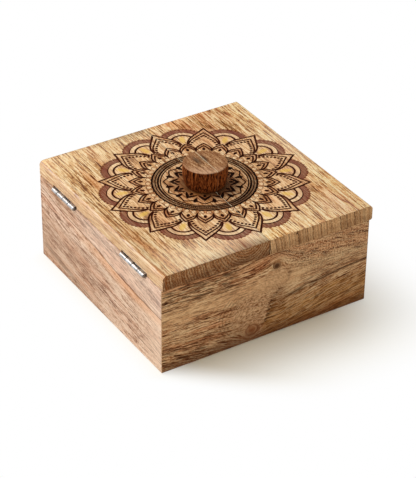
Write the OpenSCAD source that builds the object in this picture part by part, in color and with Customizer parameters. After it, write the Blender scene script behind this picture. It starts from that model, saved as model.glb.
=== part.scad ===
// Keepsake box: four mitred walls, a let-in bottom panel, and a lid of two glued boards
// with a turned knob, hung on two small butt hinges let into the back edge.
// Millimetres. The origin is the middle of the underside, +Z is up, and the front,
// where the lid opens, faces -Y. The hinges are on the +Y side.

/* [Box] */
// Outside width, along the hinged side
box_w = 178; // [150:1:260]
// Outside depth, front to back
box_d = 177; // [120:1:260]
// Height of the walls
wall_h = 71.2; // [45:0.2:120]
// Thickness of the walls
wall_t = 12; // [11:0.5:18]
// Rounding of the upright corners
corner_r = 1.2; // [0.5:0.1:3]
// Rounding of the outer bottom edge
foot_r = 2; // [0.5:0.1:3]

/* [Bottom panel] */
// Thickness of the panel, and height of the rebate that holds it
panel_t = 5; // [3:0.5:8]
// Width of the rebate in the walls
rebate_w = 6; // [5:0.5:7]
// Gap between the panel's edge and the rebate
panel_gap = 0.2; // [0.1:0.05:0.5]
// Radius of a panel pin's shank
nail_r = 0.6; // [0.5:0.05:0.8]
// Radius of a panel pin's head
nail_head_r = 1.1; // [1:0.05:1.5]
// Thickness of a panel pin's head
nail_head_t = 0.5; // [0.3:0.05:0.8]
// Depth that the heads are punched below the underside
nail_sunk = 0.2; // [0.1:0.05:0.5]
// Length of a panel pin
nail_l = 15; // [12:0.5:20]
// Distance from a corner of the box to the nearest panel pin
nail_inset = 44; // [25:1:55]

/* [Lid] */
// Thickness of the lid boards
lid_t = 12; // [11:0.5:18]
// Gap between the walls and the closed lid
seat_gap = 0.3; // [0.2:0.05:0.6]
// How far the lid passes the front wall
over_front = 1.2; // [0.4:0.1:4]
// How far the lid passes each end wall
over_end = 0.7; // [0.2:0.1:4]
// How far the lid stays short of the back face
inset_back = 0.8; // [0.5:0.1:1.5]
// Rounding of the lid's back top edge
back_top_r = 3.5; // [1:0.1:5]
// Rounding of the lid's front top edge
front_top_r = 3; // [1:0.1:5]
// Rounding of the lid's front bottom edge
front_foot_r = 1.6; // [0.5:0.1:3]
// Rounding of the lid's back bottom edge
back_foot_r = 0.4; // [0.2:0.1:0.6]
// Place of the glued joint between the boards, at the middle of the lid
joint_y = -2.4; // [-8:0.1:8]
// Turn of the glued joint away from the hinge line, in degrees
joint_skew = -1.3; // [-3:0.1:3]

/* [Carving] */
// Wood left between the lid's ends and the tips of the petals
carving_margin = 10.8; // [8:0.1:16]
// Place of the carving's middle along the glued joint
carving_x = 0.6; // [-4:0.1:4]
// Depth of the carved lines
carve_depth = 0.7; // [0.3:0.05:1.5]
// Width of the lines of the petals and cusps
leaf_line_w = 1.1; // [0.6:0.05:1.4]
// Width of the arcs of the scallops
arc_line_w = 1.2; // [0.6:0.05:1.6]
// Width of the grooves round the middle
ring_line_w = 0.8; // [0.4:0.05:1.1]
// Width of the lines of the star round the knob
star_line_w = 2; // [1:0.1:2.4]

/* [Knob] */
// Largest radius of the knob
knob_r = 16.9; // [12:0.1:25]
// Height of the knob
knob_h = 18.5; // [14:0.5:30]
// Height of the knob's widest place
knob_belly_z = 12.5; // [8:0.5:14]
// Radius of the bulging side, seen from the front
knob_side_r = 40; // [30:1:90]
// Rounding of the knob's top edge
knob_top_r = 0.6; // [0.3:0.1:2]
// Rounding of the knob's bottom edge
knob_foot_r = 1.2; // [0.3:0.1:2]
// Knob's place along the lid
knob_x = -1.3; // [-6:0.1:6]
// Knob's place across the lid
knob_y = -1.6; // [-6:0.1:6]
// Radius of the knob screw's shank
knob_screw_r = 2.1; // [1.5:0.1:2.5]
// Radius of the knob screw's head
knob_screw_head_r = 4; // [3:0.1:4.5]
// Depth of the knob screw inside the knob
knob_screw_bite = 12; // [8:0.5:13]

/* [Hinges] */
// Length of a hinge
hinge_l = 32; // [24:1:40]
// Distance from the box's end to the middle of a hinge
hinge_inset = 38.5; // [26:0.5:45]
// Outer radius of the knuckles
knuckle_r = 1.5; // [1.3:0.1:2]
// Gap between neighbouring knuckles
knuckle_gap = 0.2; // [0.1:0.05:0.4]
// Thickness of a leaf
leaf_t = 0.8; // [0.7:0.05:1]
// Width of a leaf, from the hinge axis
leaf_w = 9.5; // [8:0.5:10]
// How far the hinge axis stands behind the back face
axis_proud = 0.4; // [0.2:0.1:1]
// Radius of the hinge pin
pin_r = 0.7; // [0.5:0.05:0.8]
// Radial clearance of the pin in the lid leaf, which turns on it
pin_turn_gap = 0.05; // [0.03:0.01:0.08]
// Radial clearance of the pin in the wall leaf, which holds it
pin_hold_gap = 0.02; // [0.01:0.01:0.03]
// Radius of the pin's flattened ends
pin_head_r = 1; // [0.9:0.05:1.2]
// Thickness of the pin's flattened ends
pin_head_t = 0.3; // [0.2:0.05:0.5]
// Gap between the pin's flattened ends and the knuckles
pin_head_gap = 0.1; // [0.05:0.05:0.2]
// Gap between a hinge and each end of its recess
recess_end_gap = 1.75; // [0.8:0.05:3]
// Gap between a leaf and the inner side of its recess
recess_side_gap = 0.3; // [0.2:0.05:0.6]
// Extra depth of the wall recess below the knuckles
wall_relief = 0.35; // [0.2:0.05:0.8]
// Extra depth of the lid recess above the knuckles
lid_relief = 1.1; // [0.3:0.05:2]
// Distance between the two screws of a leaf
leaf_screw_spread = 20; // [14:1:20]
// Radius of a leaf screw's shank
leaf_screw_r = 1.1; // [0.8:0.05:1.2]
// Radius of a leaf screw's head
leaf_screw_head_r = 1.8; // [1.6:0.05:2]
// Length of a leaf screw
leaf_screw_l = 8; // [6:0.5:9]

/* [Screws] */
// Gap between a screw or nail and its hole
screw_gap = 0.05; // [0.03:0.01:0.1]
// Wood left between a screw's point and the end of its hole
hole_spare = 0.3; // [0.2:0.05:1]
// Width of the slot in a screw's head, as part of the head's radius
slot_share = 0.3; // [0.2:0.05:0.4]

/* [Hidden] */
$fn = 96;
eps = 0.01;
far = 2 * (box_w + box_d);

// Colours, as seen
back_colour = "#CBA78B";
front_colour = "#B98E64";
end_colour = "#9C7450";
panel_colour = "#D9B98C";
lid_back_colour = "#D3A871";
lid_front_colour = "#DBB27A";
knob_colour = "#7A4525";
metal_colour = "#C9CACC";

// The carving's drawing. Points are [across, out] from its middle, and both they and the
// radii are in hundredths of the radius at the petal tips. Each line is a curve that starts
// on the axis of its petal or cusp.
petal_outer = [[0, 100], [5.6, 89.3], [17.1, 81.1], [15.6, 69.1]];
petal_inner = [[0, 91.7], [4.7, 84.7], [14.7, 78.3], [14.3, 69.1]];
cusp_curve = [[0, 71.3], [2.9, 67.2], [7.5, 65.6], [7.8, 59.1]];
star_ray = [[0, 31.9], [2.4, 28.4], [5.5, 24.6]];
drop_outline = [[-1.9, 35.6], [0, 36.9], [1.9, 35.6], [1.1, 32.7], [0, 29.7], [-1.1, 32.7]];
stem_outline = [[-1.4, 60.2], [1.4, 60.2], [0.3, 54.8], [-0.3, 54.8]];
ring_radii = [49.7, 46.2, 43.6, 41.6];
scallop_out = 77.2;
// Radius of each arc of a scallop, and how far it turns from its axis before it meets a petal
scallop_arcs = [[17, 56], [11.5, 59]];
petal_count = 12;
cusp_count = 2 * petal_count;

// The lid's underside and top, and the hinge axis halfway up the gap under the lid
lid_z = wall_h + seat_gap;
lid_top_z = lid_z + lid_t;
axis_y = box_d / 2 + axis_proud;
axis_z = wall_h + seat_gap / 2;
hinge_x = box_w / 2 - hinge_inset;

// A leaf lies flush with the outside of the knuckles, so the other leaf's plate clears it
leaf_inner_z = knuckle_r - leaf_t;
knuckle_count = 4;
knuckle_l = (hinge_l - (knuckle_count - 1) * knuckle_gap) / knuckle_count;
leaf_screw_y = -(leaf_w + knuckle_r) / 2;

// What a quarter round takes off a square corner: the corner is at the origin and the
// body lies towards -x and -y
module corner_waste(r) {
    difference() {
        translate([-r, -r]) square(r + eps);
        translate([-r, -r]) circle(r);
    }
}

// An upright-cornered outline with true quarter rounds
module rounded_plan(w, d, r) {
    difference() {
        square([w, d], center = true);
        for (k = [0:3])
            rotate(90 * k)
                translate(k % 2 == 0 ? [w / 2, d / 2] : [d / 2, w / 2])
                    corner_waste(r);
    }
}

// Runs a section, drawn across Y and Z, along X
module along_x(length) {
    rotate([90, 0, 90]) linear_extrude(length, center = true) children();
}

// ---- walls ----

// Section of a wall: x is the distance from the middle of the box, y the height
module wall_section(reach) {
    difference() {
        translate([reach - wall_t, 0]) square([wall_t, wall_h]);
        translate([reach, 0]) rotate(-90) corner_waste(foot_r);
        translate([reach - wall_t - eps, -eps]) square([rebate_w + eps, panel_t + eps]);
    }
}

// A wall on the +Y side: length is its outer length, reach the distance to its outer face
module wall(length, reach, turn) {
    rotate(turn) intersection() {
        along_x(length) wall_section(reach);
        linear_extrude(wall_h) polygon([
            [-length / 2, reach], [length / 2, reach],
            [length / 2 - wall_t, reach - wall_t], [wall_t - length / 2, reach - wall_t]
        ]);
        linear_extrude(wall_h) rounded_plan(length, 2 * reach, corner_r);
    }
}

module back_wall() {
    color(back_colour) difference() {
        wall(box_w, box_d / 2, 0);
        each_hinge() wall_recess();
        each_nail() nail_hole();
    }
}

module front_wall() {
    color(front_colour) difference() {
        wall(box_w, box_d / 2, 180);
        each_nail() nail_hole();
    }
}

module left_wall() {
    color(end_colour) difference() {
        wall(box_d, box_w / 2, 90);
        each_nail() nail_hole();
    }
}

module right_wall() {
    color(end_colour) difference() {
        wall(box_d, box_w / 2, -90);
        each_nail() nail_hole();
    }
}

// ---- bottom panel and its pins ----

module bottom_panel() {
    edge = wall_t - rebate_w + panel_gap;
    color(panel_colour) difference() {
        linear_extrude(panel_t) square([box_w - 2 * edge, box_d - 2 * edge], center = true);
        each_nail() nail_hole();
    }
}

// Two pins a side, in the middle of the rebate's width
module each_nail() {
    line_in = wall_t - rebate_w / 2;
    for (side = [-1, 1], place = [-1, 1]) {
        translate([place * (box_w / 2 - nail_inset), side * (box_d / 2 - line_in), 0]) children();
        translate([side * (box_w / 2 - line_in), place * (box_d / 2 - nail_inset), 0]) children();
    }
}

// A nail, head down, pointing up; its head reaches from head_low to head_high
module nail_shape(r, head_r, head_low, head_high, length) {
    tip_l = 2 * nail_r;
    translate([0, 0, head_low]) cylinder(r = head_r, h = head_high - head_low);
    translate([0, 0, head_low]) cylinder(r = r, h = length - tip_l - head_low);
    translate([0, 0, length - tip_l]) cylinder(r1 = r, r2 = r / 5, h = tip_l);
}

module nail_hole() {
    nail_shape(
        nail_r + screw_gap, nail_head_r + screw_gap,
        -eps, nail_sunk + nail_head_t + screw_gap, nail_l + hole_spare
    );
}

module bottom_panel_pins() {
    color(metal_colour) each_nail()
        nail_shape(nail_r, nail_head_r, nail_sunk, nail_sunk + nail_head_t, nail_l);
}

// ---- lid ----

// Section of the lid across the box: x is Y of the box, y the height above its underside
module lid_section() {
    back = box_d / 2 - inset_back;
    front = -box_d / 2 - over_front;
    difference() {
        translate([front, 0]) square([back - front, lid_t]);
        translate([back, lid_t]) corner_waste(back_top_r);
        translate([front, lid_t]) rotate(90) corner_waste(front_top_r);
        translate([front, 0]) rotate(180) corner_waste(front_foot_r);
        translate([back, 0]) rotate(270) corner_waste(back_foot_r);
    }
}

// Everything on one side of the upright plane of the glued joint: side is 1 behind it, -1
// in front of it
module joint_side(side) {
    translate([0, joint_y, 0]) rotate(joint_skew)
        translate([0, side * far / 2, lid_top_z]) cube(far, center = true);
}

module lid_board(side) {
    difference() {
        intersection() {
            translate([0, 0, lid_z]) along_x(box_w + 2 * over_end) lid_section();
            joint_side(side);
        }
        carving();
        knob_screw_hole();
        if (side > 0) each_hinge() lid_recess();
    }
}

module lid_back_board() { color(lid_back_colour) lid_board(1); }
module lid_front_board() { color(lid_front_colour) lid_board(-1); }

// ---- carving in the lid's top: petals, scallops and cusps round a ringed star ----

carving_r = min(box_w, box_d) / 2 + over_end - carving_margin;

function drawn(size) = size * carving_r / 100;

// A curve through the ends of its four points, drawn towards the middle two
function curve(p, steps) = [
    for (i = [0:steps]) let (t = i / steps, u = 1 - t)
        u * u * u * p[0] + 3 * u * u * t * p[1] + 3 * u * t * t * p[2] + t * t * t * p[3]
];

// A line that starts on the axis, with its mirror image before it
function both_sides(line) =
    concat([for (i = [len(line) - 1:-1:1]) [-line[i].x, line[i].y]], line);

// Half the width of a line, sideways at its point i, and longer where the line bends
function unit(v) = v / norm(v);
function line_side(line, i, width) = let (
    last = len(line) - 1,
    before = unit(line[max(i, 1)] - line[max(i, 1) - 1]),
    after = unit(line[min(i, last - 1) + 1] - line[min(i, last - 1)]),
    middle = unit(before + after)
) [-middle.y, middle.x] * width / 2 / (middle * after);

// A groove of one width along a line of the drawing
module groove(line, width) {
    drawn_line = drawn(line);
    last = len(line) - 1;
    linear_extrude(carve_depth + eps) polygon(concat(
        [for (i = [0:last]) drawn_line[i] + line_side(drawn_line, i, width)],
        [for (i = [last:-1:0]) drawn_line[i] - line_side(drawn_line, i, width)]
    ));
}

module pit(outline) { linear_extrude(carve_depth + eps) polygon(drawn(outline)); }

module ring_groove(radius) {
    linear_extrude(carve_depth + eps) difference() {
        circle(drawn(radius) + ring_line_w / 2);
        circle(drawn(radius) - ring_line_w / 2);
    }
}

module scallop_groove(radius, reach) {
    wide = 2 * drawn(radius);
    translate([0, drawn(scallop_out), 0]) linear_extrude(carve_depth + eps) intersection() {
        difference() {
            circle(drawn(radius) + arc_line_w / 2);
            circle(drawn(radius) - arc_line_w / 2);
        }
        polygon([[0, 0], [wide * tan(reach), wide], [-wide * tan(reach), wide]]);
    }
}

// Copies round the carving's middle, turned by a share of one step
module each_turn(count, share = 0) {
    for (k = [0:count - 1]) rotate((k + share) * 360 / count) children();
}

module carving() {
    translate([0, joint_y, lid_top_z - carve_depth]) rotate(joint_skew)
        translate([carving_x, 0, 0]) {
            each_turn(petal_count) {
                groove(both_sides(curve(petal_outer, 4)), leaf_line_w);
                groove(both_sides(curve(petal_inner, 4)), leaf_line_w);
                groove(both_sides(star_ray), star_line_w);
            }
            each_turn(petal_count, 0.5) {
                for (arc = scallop_arcs) scallop_groove(arc[0], arc[1]);
                pit(drop_outline);
            }
            each_turn(cusp_count) groove(both_sides(curve(cusp_curve, 3)), leaf_line_w);
            each_turn(cusp_count, 0.5) pit(stem_outline);
            for (radius = ring_radii) ring_groove(radius);
        }
}

// ---- knob ----

// Half outline of the knob: a tall block trimmed by a large circle and two edge rounds
module knob_outline() {
    foot_out = knob_radius_at(0);
    top_out = knob_radius_at(knob_h);
    difference() {
        intersection() {
            square([knob_r, knob_h]);
            translate([knob_r - knob_side_r, knob_belly_z]) circle(knob_side_r, $fn = 360);
        }
        translate([top_out, knob_h]) corner_waste_out(knob_top_r);
        translate([foot_out, 0]) rotate(270) corner_waste_out(knob_foot_r);
    }
}

// The same waste as corner_waste, carried a little past the corner on a bulging side
module corner_waste_out(r) {
    difference() {
        translate([-r, -r]) square(2 * r);
        translate([-r, -r]) circle(r);
        translate([-r, -3 * r]) square([3 * r, 2 * r]);
    }
}

function knob_radius_at(z) =
    knob_r - knob_side_r + sqrt(pow(knob_side_r, 2) - pow(z - knob_belly_z, 2));

module knob_half(side) {
    color(knob_colour) difference() {
        intersection() {
            translate([knob_x, knob_y, lid_top_z]) rotate_extrude() knob_outline();
            joint_side(side);
        }
        knob_screw_hole();
    }
}

module knob_back_half() { knob_half(1); }
module knob_front_half() { knob_half(-1); }

// ---- screws ----

// A countersunk wood screw, head down at the origin and pointing up
module screw_shape(r, head_r, length) {
    tip_l = 2 * r;
    cylinder(r1 = head_r, r2 = r, h = head_r - r);
    cylinder(r = r, h = length - tip_l);
    translate([0, 0, length - tip_l]) cylinder(r1 = r, r2 = r / 6, h = tip_l);
}

module slotted_screw(r, head_r, length) {
    slot_w = slot_share * head_r;
    difference() {
        screw_shape(r, head_r, length);
        cube([3 * head_r, slot_w, head_r - r], center = true);
    }
}

module screw_hole(r, head_r, length) {
    translate([0, 0, -eps]) screw_shape(r + screw_gap, head_r + screw_gap, length + hole_spare);
}

module knob_screw_place() { translate([knob_x, knob_y, lid_z]) children(); }

module knob_screw_hole() {
    knob_screw_place() screw_hole(knob_screw_r, knob_screw_head_r, lid_t + knob_screw_bite);
}

module knob_screw() {
    color(metal_colour) knob_screw_place()
        slotted_screw(knob_screw_r, knob_screw_head_r, lid_t + knob_screw_bite);
}

// ---- hinges: the hinge axis is the local X axis, and the leaves reach towards -Y ----

module hinge_place(side) { translate([side * hinge_x, axis_y, axis_z]) children(); }
module each_hinge() { for (side = [-1, 1]) hinge_place(side) children(); }

// A round bar on the hinge axis
module axis_bar(r, from, length) {
    translate([from, 0, 0]) rotate([0, 90, 0]) cylinder(r = r, h = length);
}

function knuckle_start(i) = -hinge_l / 2 + i * (knuckle_l + knuckle_gap);

// A leaf above the axis, with every second knuckle, starting at first
module leaf(first, bore_r) {
    difference() {
        union() {
            translate([-hinge_l / 2, -leaf_w, leaf_inner_z]) cube([hinge_l, leaf_w, leaf_t]);
            for (i = [first:2:knuckle_count - 1])
                axis_bar(knuckle_r, knuckle_start(i), knuckle_l);
        }
        for (i = [1 - first:2:knuckle_count - 1]) knuckle_room(i);
        axis_bar(bore_r, -hinge_l, 2 * hinge_l);
        each_leaf_screw() screw_hole(leaf_screw_r, leaf_screw_head_r, leaf_screw_l);
    }
}

// What a leaf leaves free for a knuckle of the other leaf; at an end it runs out of the leaf
module knuckle_room(i) {
    start = i == 0 ? -hinge_l : knuckle_start(i) - knuckle_gap;
    stop = i == knuckle_count - 1 ? hinge_l : knuckle_start(i) + knuckle_l + knuckle_gap;
    reach = knuckle_r + knuckle_gap;
    translate([start, -reach, -reach]) cube([stop - start, 2 * reach, 2 * reach]);
}

module each_leaf_screw() {
    for (side = [-1, 1])
        translate([side * leaf_screw_spread / 2, leaf_screw_y, leaf_inner_z]) children();
}

module leaf_screws() {
    each_leaf_screw() slotted_screw(leaf_screw_r, leaf_screw_head_r, leaf_screw_l);
}

// The lid leaf lies above the axis and the wall leaf below it
module above() { children(); }
module below() { mirror([0, 0, 1]) children(); }

module lid_leaf() { above() leaf(0, pin_r + pin_turn_gap); }
module wall_leaf() { below() leaf(1, pin_r + pin_hold_gap); }

// A recess that holds a leaf, with a deeper step behind the knuckles
module leaf_recess(relief) {
    length = hinge_l + 2 * recess_end_gap;
    step = knuckle_r + 2 * knuckle_gap;
    translate([-length / 2, -leaf_w - recess_side_gap, -eps])
        cube([length, leaf_w + far, knuckle_r + eps]);
    translate([-length / 2, -step, -eps]) cube([length, far, knuckle_r + relief + eps]);
    each_leaf_screw() screw_hole(leaf_screw_r, leaf_screw_head_r, leaf_screw_l);
}

module lid_recess() { above() leaf_recess(lid_relief); }
module wall_recess() { below() leaf_recess(wall_relief); }

module hinge_pin() {
    length = hinge_l + 2 * pin_head_gap;
    axis_bar(pin_r, -length / 2, length);
    axis_bar(pin_head_r, length / 2, pin_head_t);
    axis_bar(pin_head_r, -length / 2 - pin_head_t, pin_head_t);
}

module left_hinge_wall_leaf() { color(metal_colour) hinge_place(-1) wall_leaf(); }
module left_hinge_lid_leaf() { color(metal_colour) hinge_place(-1) lid_leaf(); }
module left_hinge_pin() { color(metal_colour) hinge_place(-1) hinge_pin(); }
module left_hinge_wall_screws() { color(metal_colour) hinge_place(-1) below() leaf_screws(); }
module left_hinge_lid_screws() { color(metal_colour) hinge_place(-1) above() leaf_screws(); }
module right_hinge_wall_leaf() { color(metal_colour) hinge_place(1) wall_leaf(); }
module right_hinge_lid_leaf() { color(metal_colour) hinge_place(1) lid_leaf(); }
module right_hinge_pin() { color(metal_colour) hinge_place(1) hinge_pin(); }
module right_hinge_wall_screws() { color(metal_colour) hinge_place(1) below() leaf_screws(); }
module right_hinge_lid_screws() { color(metal_colour) hinge_place(1) above() leaf_screws(); }

back_wall();
front_wall();
left_wall();
right_wall();
bottom_panel();
bottom_panel_pins();
lid_back_board();
lid_front_board();
knob_back_half();
knob_front_half();
knob_screw();
left_hinge_wall_leaf();
left_hinge_lid_leaf();
left_hinge_pin();
left_hinge_wall_screws();
left_hinge_lid_screws();
right_hinge_wall_leaf();
right_hinge_lid_leaf();
right_hinge_pin();
right_hinge_wall_screws();
right_hinge_lid_screws();
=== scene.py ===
import math
from collections import namedtuple
from functools import partial

import bmesh
import bpy
import numpy as np
from mathutils import Matrix, Vector
from mathutils.geometry import delaunay_2d_cdt


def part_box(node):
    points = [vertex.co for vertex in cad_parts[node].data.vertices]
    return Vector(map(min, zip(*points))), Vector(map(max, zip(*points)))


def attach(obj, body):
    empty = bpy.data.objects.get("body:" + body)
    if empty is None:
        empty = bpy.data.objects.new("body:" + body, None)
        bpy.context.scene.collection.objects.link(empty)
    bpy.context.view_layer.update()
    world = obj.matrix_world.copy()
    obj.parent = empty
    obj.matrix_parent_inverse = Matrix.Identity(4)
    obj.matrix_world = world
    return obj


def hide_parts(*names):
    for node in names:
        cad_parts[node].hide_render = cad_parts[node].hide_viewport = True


# Looks of the keepsake box: eased boards, the carved lid, grain, metal, floor, light and
# camera. Geometry is in metres. Sizes from the frame, the carving's drawing, the wood grain
# and names that end in _MM are in millimetres.

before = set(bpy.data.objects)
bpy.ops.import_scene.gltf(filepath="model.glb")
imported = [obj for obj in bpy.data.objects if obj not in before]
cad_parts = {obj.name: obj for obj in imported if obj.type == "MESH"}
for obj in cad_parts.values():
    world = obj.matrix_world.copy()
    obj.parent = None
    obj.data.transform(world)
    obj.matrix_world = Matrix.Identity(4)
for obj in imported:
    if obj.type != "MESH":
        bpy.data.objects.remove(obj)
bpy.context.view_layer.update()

MM = 0.001


# ---- sizes taken from the frame ----

def span(*nodes):
    """Lowest and highest corner that CAD nodes reach together, in millimetres."""
    lows, highs = zip(*(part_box(node) for node in nodes))
    return np.array(lows).min(axis=0) / MM, np.array(highs).max(axis=0) / MM


LID_LOW, LID_HIGH = span("lid_back_board", "lid_front_board")
BOX_LOW, BOX_HIGH = span("back_wall", "front_wall", "left_wall", "right_wall")
KNOB_LOW, KNOB_HIGH = span("knob_back_half", "knob_front_half")
KNOB_CENTRE = (KNOB_LOW + KNOB_HIGH) / 2
KNOB_R = (KNOB_HIGH - KNOB_LOW)[0] / 2
LID_TOP = LID_HIGH[2]


def joint_ends():
    """The ends of the lid's glued joint, left and right, from the back board's front edge."""
    corners = [v.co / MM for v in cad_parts["lid_back_board"].data.vertices]
    top = [c for c in corners if c.z > LID_TOP - 0.01]
    ends = []
    for side in (-1, 1):
        reach = max(side * c.x for c in top)
        at_end = [c for c in top if side * c.x > reach - 0.01]
        ends.append(min(at_end, key=lambda c: c.y).to_2d())
    return ends


JOINT_LEFT, JOINT_RIGHT = joint_ends()
JOINT_ALONG = (JOINT_RIGHT - JOINT_LEFT).normalized()
JOINT_BACK = Vector((-JOINT_ALONG.y, JOINT_ALONG.x))
JOINT_ANGLE = math.atan2(JOINT_ALONG.y, JOINT_ALONG.x)


def on_joint(x):
    """The point of the joint line at a given x."""
    return JOINT_LEFT + JOINT_ALONG * ((x - JOINT_LEFT.x) / JOINT_ALONG.x)


# ---- node graphs ----

def linear(colour):
    """A colour written as six hex digits, as the linear values that a node wants."""
    parts = [int(colour[i:i + 2], 16) / 255 for i in (1, 3, 5)]
    return [p / 12.92 if p <= 0.04045 else ((p + 0.055) / 1.055) ** 2.4 for p in parts] + [1]


def math_method(operation, *fixed, swapped=False, clamp=False):
    """A method that adds a math node to the graph of the value that it is called on."""
    def method(self, *others):
        values = (*others, self) if swapped else (self, *others)
        return self.graph.math(operation, *values, *fixed, clamp=clamp)
    return method


class Value:
    """The output of a node. Arithmetic on it adds math nodes."""

    __add__ = math_method("ADD")
    __radd__ = math_method("ADD", swapped=True)
    __sub__ = math_method("SUBTRACT")
    __rsub__ = math_method("SUBTRACT", swapped=True)
    __mul__ = math_method("MULTIPLY")
    __truediv__ = math_method("DIVIDE")
    __neg__ = math_method("MULTIPLY", -1)
    __abs__ = math_method("ABSOLUTE")
    root = math_method("SQRT")
    clipped = math_method("MULTIPLY", 1, clamp=True)
    most = math_method("MAXIMUM")
    least = math_method("MINIMUM")

    def __init__(self, graph, socket):
        self.graph = graph
        self.socket = socket

    def squared(self):
        return self * self

    def rise(self, low, high, start=0, end=1):
        """0 below low, 1 above high, and a smooth step between them."""
        return self.graph.node(
            "ShaderNodeMapRange", {0: self, 1: low, 2: high, 3: start, 4: end},
            interpolation_type="SMOOTHSTEP",
        )

    def fall(self, low, high):
        """1 below low, 0 above high."""
        return self.rise(low, high, 1, 0)

    def bump(self, middle, width):
        """1 at the middle, falling smoothly to 0 one width away."""
        return abs(self - middle).fall(0, width)


class Graph:
    """The node tree of a material or world."""

    def __init__(self, owner):
        self.owner = owner
        owner.use_nodes = True
        self.tree = owner.node_tree
        self.tree.nodes.clear()

    def add(self, kind, inputs, **settings):
        """A new node. Each input is a Value, a number or a colour in six hex digits."""
        made = self.tree.nodes.new(kind)
        for name, value in settings.items():
            setattr(made, name, value)
        for key, value in inputs.items():
            if isinstance(value, Value):
                self.tree.links.new(value.socket, made.inputs[key])
            else:
                made.inputs[key].default_value = linear(value) if isinstance(value, str) else value
        return made

    def node(self, kind, inputs, out=0, **settings):
        """One output of a new node."""
        return Value(self, self.add(kind, inputs, **settings).outputs[out])

    def math(self, operation, *values, clamp=False):
        return self.node(
            "ShaderNodeMath", dict(enumerate(values)), operation=operation, use_clamp=clamp
        )

    def place(self):
        """The point on the object, in millimetres, as three values."""
        spot = self.node("ShaderNodeTexCoord", {}, out="Object")
        return [part / MM for part in self.parts(spot)]

    def facing(self):
        """The surface's own direction, as three values."""
        return self.parts(self.node("ShaderNodeTexCoord", {}, out="Normal"))

    def parts(self, vector):
        split = self.add("ShaderNodeSeparateXYZ", {0: vector})
        return [Value(self, out) for out in split.outputs]

    def vector(self, *values):
        return self.node("ShaderNodeCombineXYZ", dict(enumerate(values)))

    def noise(self, spot, detail=2, rough=0.5):
        """Smooth noise from 0 to 1 with features about one unit of the given point apart."""
        return self.node(
            "ShaderNodeTexNoise",
            {"Vector": self.vector(*spot), "Scale": 1, "Detail": detail, "Roughness": rough},
        )

    def specks(self, spot, size):
        """1 in the middle of scattered specks, 0 outside them; also a random value for each."""
        cells = self.add("ShaderNodeTexVoronoi", {"Vector": self.vector(*spot), "Scale": 1})
        near = Value(self, cells.outputs["Distance"]).fall(size * 0.5, size)
        return near, self.parts(Value(self, cells.outputs["Color"]))[0]

    def attribute(self, name):
        """A value stored on the mesh, as its three colour parts."""
        return self.parts(
            self.node("ShaderNodeAttribute", {}, out="Color", attribute_name=name)
        )

    def curve(self, value, points):
        """A smooth curve through the given points, flat beyond the first and last."""
        (x0, _), (x1, _) = points[0], points[-1]
        low = min(y for _, y in points)
        high = max(y for _, y in points)
        share = (value - x0) / (x1 - x0)
        made = self.add("ShaderNodeFloatCurve", {"Value": share.clipped()})
        line = made.mapping.curves[0]
        while len(line.points) < len(points):
            line.points.new(0.5, 0.5)
        for spot, (x, y) in zip(line.points, points):
            spot.location = ((x - x0) / (x1 - x0), (y - low) / (high - low))
        made.mapping.update()
        return Value(self, made.outputs[0]) * (high - low) + low

    def ramp(self, value, *stops):
        """A colour for a value, from (place, colour) stops."""
        made = self.add("ShaderNodeValToRGB", {0: value})
        made.color_ramp.interpolation = "B_SPLINE" if len(stops) > 2 else "LINEAR"
        marks = made.color_ramp.elements
        while len(marks) < len(stops):
            marks.new(0.5)
        for mark, (spot, colour) in zip(marks, stops):
            mark.position = spot
            mark.color = linear(colour)
        return Value(self, made.outputs[0])

    def mix(self, share, first, second, blend="MIX"):
        """Blends two colours."""
        return self.node(
            "ShaderNodeMix", {0: share, 6: first, 7: second},
            out=2, data_type="RGBA", blend_type=blend,
        )

    def end(self, shader, kind="ShaderNodeOutputMaterial"):
        """Ends the graph in a shader, and gives the material or world back."""
        self.add(kind, {"Surface": shader})
        return self.owner

    def surface(self, colour, rough, height_mm, **settings):
        """Ends the graph in a surface."""
        bump = self.node(
            "ShaderNodeBump", {"Strength": 1, "Distance": MM, "Height": height_mm}
        )
        inputs = {"Base Color": colour, "Roughness": rough, "Normal": bump}
        for name, value in settings.items():
            inputs[name.replace("_", " ")] = value
        return self.end(self.node("ShaderNodeBsdfPrincipled", inputs))


class Paint:
    """A colour that takes one layer over another."""

    def __init__(self, graph, colour):
        self.graph = graph
        self.colour = colour

    def __call__(self, share, colour, blend="MIX"):
        self.colour = self.graph.mix(share, self.colour, colour, blend)


# ---- wood ----

def around(value_a, value_b, middle, size):
    """A soft round patch: 1 at the middle, about 0 past its two half sizes."""
    spread = ((value_a - middle[0]) / size[0]).squared() + ((value_b - middle[1]) / size[1]).squared()
    return value_a.graph.math("EXPONENT", -spread)


# Grain that parts round a spot on a face. It has a dark heart, ringed by the grain, which
# climbs by lift there. reach and heart are pairs of half sizes.
Knot = namedtuple("Knot", "at reach pull lift heart colour", defaults=["#5A3220"])


def arris(g, place, low, high):
    """Distance from the nearest edge of a box-shaped board, in millimetres."""
    a, b, c = (
        (value - low[i]).least(high[i] - value) for i, value in enumerate(place)
    )
    return a.least(b).most(a.most(b).least(c))


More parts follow.
